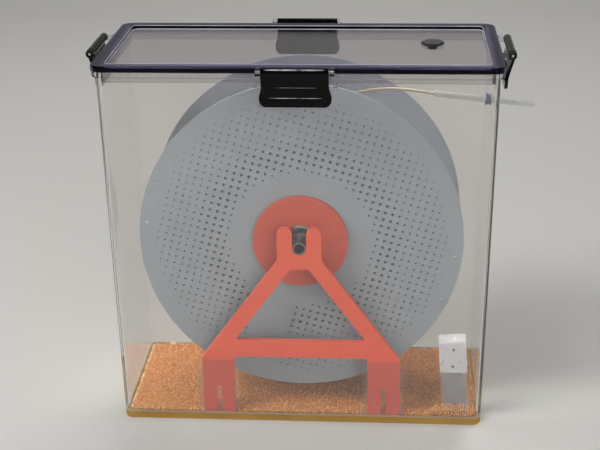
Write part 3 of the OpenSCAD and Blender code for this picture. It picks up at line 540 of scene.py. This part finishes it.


# %% [markdown]
# ## Rounded edges of the lid's rim
#
# A moulded rim has small roundings along its steps, and each catches the light as a fine pale line. The
# rounding in the solid model is too small to hold such a line, so two rails follow the rim: one along the
# top of its inner edge and one at the foot of the recess. Their pale colour is a painted highlight, which
# comes and goes along the way, as the light on a real edge does.

# %% Lid rim edges
RAIL_R = 0.26 * MM
RECESS_DEEP = 2.4 * MM    # from the top of the rim down to the recessed panel
RECESS_CORNER = 3 * MM    # corner radius of the recess
RIM_TALL = 3.6 * MM       # from the seal's foot to the top of the rim
HIGHLIGHT_STRETCH = 25 * MM            # size of the brighter and duller stretches
# Each rail's name, how far it lies inside the edge of the recess, and its height above the top of the rim.
RAILS = (("rim_edge_top", -0.1 * MM, -0.2 * MM),
         ("rim_edge_foot", 0.25 * MM, 0.15 * MM - RECESS_DEEP))
# The rails' pale colour is a painted highlight, brighter and duller in stretches.
rim_highlight, tree, shader, spot = new_finish("rim_painted_highlight", "#DEDCE2", 0.2, IOR=1.57)
highlight_stretches = add(tree, "TexNoise", {"Vector": spot, "Scale": 1 / HIGHLIGHT_STRETCH, "Detail": 2.0})
vary(tree, shader, "Base Color", highlight_stretches.outputs["Fac"], "#7C7892", "#E8E7EC")
rim_middle = (seal_low + seal_high) / 2
recess_x = (seal_high.x - seal_low.x) / 2 + SEAL_INSET - RIM_W
recess_y = (seal_high.y - seal_low.y) / 2 + SEAL_INSET - RIM_W
rim_top = seal_low.z + RIM_TALL
for name, inset, up in RAILS:
    path = rounded_path(recess_x - inset, recess_y - inset, RECESS_CORNER, rim_middle)
    rail = swept_rail(name, path, rim_top + up, RAIL_R)
    rail.data.materials.append(rim_highlight)
    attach(rail, "lid")

# %% [markdown]
# ## A ridge laid by rays
#
# The latches' creases follow faces that are slightly curved. Casting rays at a face from outside finds the
# points where it really is, so a ridge laid on those points lies on the face and doesn't float or sink. It
# is a tube whose ends are closed, and it thins out towards them.


# %% A ridge laid by rays
CREASE_POINTS = 13
CREASE_SIDES = 8
THINNEST = 0.02               # least value of the squared share of the radius
SUNK = 0.4                    # share of the radius that lies below the face
RAY_START = 20 * MM           # rays set out from this far off the face
UP = Vector((0, 0, 1))


def ridge_on(node, name, foot, aim, half_length, radius):
    """A round ridge on a node. aim points out from its face, and the rays go to foot and to its sides."""
    across = UP.cross(Vector((aim.x, aim.y, 0))).normalized()
    spine = []
    for share in np.linspace(-1, 1, CREASE_POINTS):
        target = foot + across * half_length * float(share)
        hit, where = node.ray_cast(target + aim * RAY_START, -aim)[:2]
        if hit:
            thin = math.sqrt(max(1 - share ** 4, THINNEST))
            spine.append((where - aim * SUNK * radius, radius * thin))
    above = across.cross(aim).normalized()
    angles = [2 * math.pi * k / CREASE_SIDES for k in range(CREASE_SIDES)]
    vertices = [centre + (aim * math.cos(a) + above * math.sin(a)) * thickness
                for centre, thickness in spine for a in angles]
    last = (len(spine) - 1) * CREASE_SIDES
    polygons = []
    for near in range(0, last, CREASE_SIDES):
        far = near + CREASE_SIDES
        for k in range(CREASE_SIDES):
            after = (k + 1) % CREASE_SIDES
            polygons.append((near + k, near + after, far + after, far + k))
    polygons.append(tuple(range(CREASE_SIDES))[::-1])
    polygons.append(tuple(last + k for k in range(CREASE_SIDES)))
    return mesh_object(name, vertices, polygons)


# %% [markdown]
# ## Painted highlights on the latches' creases
#
# Each latch catches the light as fine lines along the hinge barrel, across the plate and at the crease
# above the finger lip. Each line is a slim ridge in a pale grey ABS, a painted highlight that comes and
# goes along it. The ridges ride their latch.

# %% Latch creases
LIP_UP = 5.7 * MM             # from the latch's foot to the crease above the lip
PLATE_UP = 6.6 * MM           # from that crease to the one across the plate
BARREL_HALF, BARREL_R = 18.5 * MM, 0.55 * MM
PLATE_HALF, PLATE_R = 13 * MM, 0.12 * MM
LIP_HALF, LIP_R = 16.5 * MM, 0.26 * MM
HIGHLIGHT_PATCH = 6 * MM
SIDES = {"front": (0, -1, 0), "back": (0, 1, 0), "left": (-1, 0, 0), "right": (1, 0, 0)}
# The ridges' pale grey, brighter in patches, is a painted highlight.
crease_highlight, tree, shader, spot = new_finish("black_abs_painted_highlight", "#8A8D92", 0.22, IOR=1.54)
highlight_patches = add(tree, "TexNoise", {"Vector": spot, "Scale": 1 / HIGHLIGHT_PATCH, "Detail": 2.0})
highlight_patches = add(tree, "MapRange", {"Value": highlight_patches.outputs["Fac"], "From Min": 0.3, "From Max": 0.6})
vary(tree, shader, "Base Color", highlight_patches.outputs["Result"], "#3C3D40", "#B9BCC1")
for side, facing in SIDES.items():
    latch = "latch_" + side
    out = Vector(facing)
    axis_low, axis_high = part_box("hinge_pin_" + side)
    axis = (axis_low + axis_high) / 2
    lip = Vector((axis.x, axis.y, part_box(latch)[0].z + LIP_UP))
    for part, foot, aim, half_length, radius in (
            ("barrel", axis, (out + UP).normalized(), BARREL_HALF, BARREL_R),
            ("plate", lip + PLATE_UP * UP, out, PLATE_HALF, PLATE_R),
            ("lip", lip, out, LIP_HALF, LIP_R)):
        ridge = ridge_on(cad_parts[latch], f"crease_{part}_{side}", foot, aim, half_length, radius)
        ridge.data.materials.append(crease_highlight)
        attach(ridge, latch)

# %% [markdown]
# ## Drying beads
#
# The bed is loose silica beads about 1.5 mm across, amber and half clear. Modelling each bead is what makes
# the bed read as beads, because their outlines, gaps and highlights all come from the shape. Their centres
# come first. They lie on a jittered triangular grid, one bead deep, with a few on top, and leave room for
# the stands' legs, the pads and the walls.

# %% Bead places
BEAD_R = 0.78 * MM
SMALLEST, LARGEST = 0.62, 1.12    # a bead's radius as a share of BEAD_R
BEAD_PITCH = 1.6 * MM
ROW_SHARE = 0.866                 # rows of a triangular grid lie this share of a pitch apart
JITTER = 0.42 * MM
LIFT = 0.5                        # the most that a bead lies above the floor, in mm
ON_TOP = 0.14                     # share of places where a second bead lies on the first
TOP_UP, TOP_SIZE = 1.3, 0.9       # its height above the first in BEAD_R, and its size beside the first
BEAD_CLEAR = 0.1 * MM             # room between a bead and what stands in the bed
CORNER_R = 2.8 * MM               # inside radius of the container's upright corners
WALL_GAP = 1.2 * MM               # the loose beads roll closer to the walls than the solid bed
LEG_W = 20.1 * MM                 # width of a stand's leg
bed_low, bed_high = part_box("desiccant_beads")
bead_random = random.Random(7)

leg_boxes = []
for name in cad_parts:
    if name.startswith("pad_"):
        low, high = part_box(name)
        leg_boxes.append((low, high))
        stand_low, stand_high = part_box("stand_front" if "front" in name else "stand_rear")
        leg_x = (low.x + high.x) / 2
        leg_left = Vector((leg_x - LEG_W / 2, stand_low.y, 0))
        leg_right = Vector((leg_x + LEG_W / 2, stand_high.y, 0))
        leg_boxes.append((leg_left, leg_right))


def blocked(x, y, margin):
    """True where a leg, a pad or the container's wall leaves no room for a bead."""
    reach_x, reach_y = bed_high.x + WALL_GAP - margin, bed_high.y + WALL_GAP - margin
    if abs(x) > reach_x or abs(y) > reach_y:
        return True
    corner = (abs(x) - reach_x + CORNER_R, abs(y) - reach_y + CORNER_R)
    if min(corner) > 0 and math.hypot(*corner) > CORNER_R:
        return True
    return any(low.x - margin < x < high.x + margin and low.y - margin < y < high.y + margin
               for low, high in leg_boxes)


def bead_places():
    """Centres and radii of the beads, row by row."""
    found = []
    reach = bed_high + Vector((WALL_GAP, WALL_GAP, 0))
    rows = int(2 * reach.y / (BEAD_PITCH * ROW_SHARE)) + 1
    columns = int(2 * reach.x / BEAD_PITCH) + 1
    for row in range(rows):
        for column in range(columns):
            x = -reach.x + (column + 0.5 * (row % 2)) * BEAD_PITCH + bead_random.uniform(-1, 1) * JITTER
            y = -reach.y + row * ROW_SHARE * BEAD_PITCH + bead_random.uniform(-1, 1) * JITTER
            radius = BEAD_R * bead_random.uniform(SMALLEST, LARGEST)
            if blocked(x, y, radius + BEAD_CLEAR):
                continue
            z = bed_low.z + radius + bead_random.uniform(0, LIFT) * MM
            found.append((x, y, z, radius))
            if bead_random.random() < ON_TOP:
                found.append((x + 0.5 * BEAD_PITCH, y, z + TOP_UP * BEAD_R, TOP_SIZE * radius))
    return found


# %% [markdown]
# ## A heap at the gauge
#
# Beads poured in afterwards lie against the foot of the gauge, in front of it and beside it. The heap is
# built in layers of a few rows each. It is highest at the front wall, and a row further in or a place
# further out ends lower down.


# %% Heap at the gauge
HEAP_LAYERS = 6
HEAP_ROWS = 3
HEAP_REACH = 9 * MM               # how far the heap runs out beside the gauge
ROW_GAP, COLUMN_GAP, LAYER_GAP = 1.45 * MM, 1.5 * MM, 1.25 * MM
ROW_FALL = 0.9                    # layers that a row ends below the one in front of it
UNEVEN = 0.6                      # layers that the heap's top goes up and down by
FIRST_LAYER = 0.3                 # height of the first layer's centres above the bed, in layers
FRONT_ROW = 1.25                  # from the wall to the first row's centres, in BEAD_R
GAUGE_CLEAR = 0.3 * MM
ASIDE, INWARD = 0.3, 0.2          # the most that a bead lies off its place, in mm
SMALLEST_IN_HEAP = 0.8            # as a share of BEAD_R


def heap_places():
    """Centres and radii of the beads in the heap."""
    found = []
    foot_low, foot_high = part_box("gauge_case")
    left = foot_low.x - HEAP_REACH
    right = bed_high.x + WALL_GAP - BEAD_R
    front = bed_low.y - WALL_GAP + FRONT_ROW * BEAD_R
    for layer in range(HEAP_LAYERS):
        for row in range(HEAP_ROWS):
            y = front + row * ROW_GAP
            for column_x in np.arange(left, right, COLUMN_GAP):
                x = column_x + bead_random.uniform(-ASIDE, ASIDE) * MM
                beside = max(foot_low.x - x, 0) / HEAP_REACH
                radius = BEAD_R * bead_random.uniform(SMALLEST_IN_HEAP, 1.0)
                reach = radius + GAUGE_CLEAR
                in_gauge = y > foot_low.y - reach and foot_low.x - reach < x < foot_high.x + reach
                top = HEAP_LAYERS * (1 - beside) - ROW_FALL * row + bead_random.uniform(-UNEVEN, UNEVEN)
                if in_gauge or layer + 1 > top:
                    continue
                z = bed_high.z + (layer + FIRST_LAYER) * LAYER_GAP
                found.append((x, y + bead_random.uniform(0, INWARD) * MM, z, radius))
    return found


places = bead_places() + heap_places()
places = np.array([p for p in places if not blocked(p[0], p[1], p[3] + BEAD_CLEAR)])
print("beads:", len(places))

# %% [markdown]
# ## One mesh of all the beads
#
# Ten thousand objects would be slow to handle, so all the beads are one mesh. One small sphere is made
# once, and its points are copied to every place at once with arrays. The mesh takes the place of the plain
# bed of the solid model, which is hidden. The mesh replaces the plain bed of the solid model, which stays
# for collision.

# %% Bead mesh
ball = bmesh.new()
bmesh.ops.create_icosphere(ball, subdivisions=1, radius=1.0)
ball_points = np.array([v.co[:] for v in ball.verts])
ball_faces = np.array([[v.index for v in f.verts] for f in ball.faces])
ball.free()
points = (places[:, None, :3] + ball_points[None] * places[:, None, 3:]).reshape(-1, 3)
faces = (ball_faces[None] + (np.arange(len(places)) * len(ball_points))[:, None, None]).reshape(-1, 3)
beads = mesh_object("drying_beads", points, faces)
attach(beads, "container")
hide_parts("desiccant_beads")

# %% [markdown]
# ## Silica gel
#
# Silica gel is a hard glassy gel, IOR 1.46, that lets light deep into it. Amber light travels furthest
# inside, so the beads glow between their highlights, and their tone differs from bead to bead. Along the
# left and the back wall their colour turns paler by position.

# %% Silica gel
TONE_SPOT = 1.8 * MM              # about a bead, so that each has its own tone
PALE_INSET = 1.2 * MM             # the pale beads start this far inside the bed's edge
PALE_FADE, PALE_MOST = 1.0 * MM, 0.7
silica, tree, shader, spot = new_finish(
    "amber_silica_gel", "#D08838", 0.08, IOR=1.46, Subsurface_Weight=0.7,
    Subsurface_Radius=(1.0, 0.5, 0.15), Subsurface_Scale=1.2 * MM)
tone = add(tree, "TexNoise", {"Vector": spot, "Scale": 1 / TONE_SPOT, "Detail": 2.0})
tone = add(tree, "MapRange", {"Value": tone.outputs["Fac"], "From Min": 0.3, "From Max": 0.75})
amber = add(tree, "Mix", {SHARE: tone.outputs["Result"], FIRST: linear("#AA6834"), SECOND: linear("#F2BC7C")},
            data_type="RGBA")
point = add(tree, "SeparateXYZ", {"Vector": spot}).outputs
past_left = add(tree, "Math", {0: bed_low.x + PALE_INSET, 1: point[0]}, operation="SUBTRACT").outputs[0]
past_back = add(tree, "Math", {0: point[1], 1: bed_high.y - PALE_INSET}, operation="SUBTRACT").outputs[0]
past = add(tree, "Math", {0: past_left, 1: past_back}, operation="MAXIMUM").outputs[0]
at_edge = add(tree, "MapRange", {"Value": past, "From Min": 0.0, "From Max": PALE_FADE, "To Max": PALE_MOST})
add(tree, "Mix", {SHARE: at_edge.outputs["Result"], FIRST: amber.outputs[MIXED], SECOND: linear("#F4E2C4")},
    {MIXED: shader.inputs["Base Color"]}, data_type="RGBA")
beads.data.materials.append(silica)
print("pale beads left of", round((bed_low.x + PALE_INSET) / MM, 1), "mm")

# %% [markdown]
# ## The layer under the beads
#
# Between the top beads one sees the beads below them. So little of those shows that one sheet of soft bumps
# stands for them, in a deeper and duller amber, because less light comes down there.

# %% The layer under the beads
UNDER_STEP = 1.5 * MM
UNDER_LOW, UNDER_HIGH = 0.7, 1.1  # height of its points above the container's floor, in mm
UNDER_SPOT = 1.6 * MM
under_random = random.Random(11)
under_x = np.arange(bed_low.x, bed_high.x, UNDER_STEP)
under_y = np.arange(bed_low.y, bed_high.y, UNDER_STEP)
under_points = [(x, y, bed_low.z + under_random.uniform(UNDER_LOW, UNDER_HIGH) * MM)
                for y in under_y for x in under_x]
wide = len(under_x)
under_faces = [(i, i + 1, i + 1 + wide, i + wide) for row in range(len(under_y) - 1)
               for i in range(row * wide, row * wide + wide - 1)]
under = mesh_object("beads_below", under_points, under_faces)
shaded_silica, tree, shader, spot = new_finish("amber_silica_gel_below", "#B06A2C", 0.35, IOR=1.46)
tone = add(tree, "TexNoise", {"Vector": spot, "Scale": 1 / UNDER_SPOT, "Detail": 2.0})
vary(tree, shader, "Base Color", tone.outputs["Fac"], "#96551F", "#D08A42")
under.data.materials.append(shaded_silica)
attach(under, "container")

# %% [markdown]
# ## Floor and backdrop
#
# A clear object takes its look from what stands around it, so the stage is a pale matte floor that curves
# up into a backdrop, with no line between them. Each clear wall takes a share of the light that passes it,
# and the render follows a ray through only so many walls, so what lies behind the box would come out too
# dark. For light that has come through clear plastic, half of the floor's look is therefore plain light of
# its own colour.

# %% Floor and backdrop
FLOOR_HALF = 2.2          # half the stage's width, and how far it comes forward, in metres
SWEEP_Y = 1.1             # where the floor starts to curve up
SWEEP_R = 0.7
SWEEP_STEPS = 16
BACK_TOP = 2.4
LIT_SHARE = 0.5
profile = [(-FLOOR_HALF, 0.0), (SWEEP_Y, 0.0)]
for angle in np.linspace(0, math.pi / 2, SWEEP_STEPS + 1)[1:]:
    profile.append((SWEEP_Y + SWEEP_R * math.sin(angle), SWEEP_R * (1 - math.cos(angle))))
profile.append((SWEEP_Y + SWEEP_R, BACK_TOP))
stage_points = [(x, y, z) for y, z in profile for x in (-FLOOR_HALF, FLOOR_HALF)]
stage_faces = [(2 * i, 2 * i + 1, 2 * i + 3, 2 * i + 2) for i in range(len(profile) - 1)]
stage = mesh_object("stage_floor", stage_points, stage_faces)
paper, tree, shader = new_finish("matte_backdrop_paper", "#CDCBC6", 0.75, IOR=1.45)[:3]
lit = add(tree, "Emission", {"Color": linear("#C9C6C1"), "Strength": 0.95})
seen_through = add(tree, "LightPath").outputs["Is Transmission Ray"]
lit_part = add(tree, "Math", {0: seen_through, 1: LIT_SHARE}, operation="MULTIPLY").outputs[0]
add(tree, "MixShader", {0: lit_part, 1: shader.outputs["BSDF"], 2: lit.outputs["Emission"]},
    {"Shader": tree.nodes["Material Output"].inputs["Surface"]})
stage.data.materials.append(paper)

# %% [markdown]
# ## Light
#
# Soft square lamps give the long gentle highlights of a studio. The key lamp stands high at the left, a
# large dim one stands at the front right, and a small one hangs above and behind. The sky is a dim grey,
# because clear and black plastic would mirror a bright one and look washed out. For light that has come
# through clear plastic it is pale, for the same reason as the floor.


# %% Light
def soft_lamp(name, where, target, size, watts):
    """A square lamp that faces a point."""
    data = bpy.data.lights.new(name, "AREA")
    data.size = size
    data.energy = watts
    lamp = bpy.data.objects.new(name, data)
    lamp.location = where
    lamp.rotation_euler = (Vector(target) - Vector(where)).to_track_quat("-Z", "Y").to_euler()
    scene.collection.objects.link(lamp)


CENTRE = (0, 0, 0.12)
SKY_STRENGTH, PALE_SKY_STRENGTH = 0.16, 0.85
soft_lamp("key_lamp", (-1.0, -0.6, 1.3), CENTRE, size=0.5, watts=18)
soft_lamp("front_lamp", (0.9, -1.5, 0.6), CENTRE, size=1.1, watts=9)
soft_lamp("top_lamp", (0.15, 0.75, 1.5), CENTRE, size=0.35, watts=9)
world = bpy.data.worlds.new("studio")
scene.world = world
world.use_nodes = True
sky = world.node_tree
dim_sky = sky.nodes["Background"]
dim_sky.inputs["Color"].default_value = linear("#DCDCDC")
dim_sky.inputs["Strength"].default_value = SKY_STRENGTH
pale_sky = add(sky, "Background", {"Color": linear("#DCDCDA"), "Strength": PALE_SKY_STRENGTH})
through = add(sky, "LightPath").outputs["Is Transmission Ray"]
add(sky, "MixShader", {0: through, 1: dim_sky.outputs["Background"], 2: pale_sky.outputs["Background"]},
    {"Shader": sky.nodes["World Output"].inputs["Surface"]})
print("lamps:", len(bpy.data.lights))
